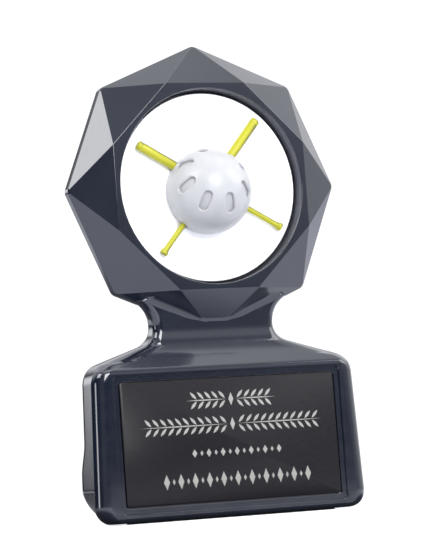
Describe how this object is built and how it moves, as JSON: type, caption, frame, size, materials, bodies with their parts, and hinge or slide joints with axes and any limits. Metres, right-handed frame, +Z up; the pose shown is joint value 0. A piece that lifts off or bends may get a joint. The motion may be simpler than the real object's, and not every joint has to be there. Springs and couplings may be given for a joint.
{
  "type": "sports award trophy",
  "caption": "Free-standing cast resin award: octagonal faceted ring with a round insert carrying a slotted ball over crossed bats, on a block base with an engraving plate.",
  "frame": {"origin": "on the surface the award stands on, under the middle plane of the ring and midway between its sides", "axes": "+Z up, the award faces -Y, +X to the right as seen from the front"},
  "size_m": [0.078, 0.0271, 0.1273],
  "materials": {
    "black_resin": "polished cast resin",
    "white_insert": "smooth",
    "adhesive_foam": "closed-cell foam",
    "ball_white": "satin moulded plastic",
    "core_grey": "matte",
    "bat_yellow": "glossy moulded plastic",
    "plate_black": "satin black lacquer",
    "plate_silver": "bare engraved metal",
    "adhesive_film": "matte",
    "felt_green": "felt"
  },
  "bodies": {
    "root": {"resin_casting": "black_resin", "insert_disc": "white_insert", "insert_foam_pad": "adhesive_foam", "ball_shell": "ball_white", "ball_core": "core_grey", "bat_a": "bat_yellow", "bat_b": "bat_yellow", "engraving_plate": "plate_black", "plate_adhesive_film": "adhesive_film", "felt_pad": "felt_green"}
  },
  "joints": []
}
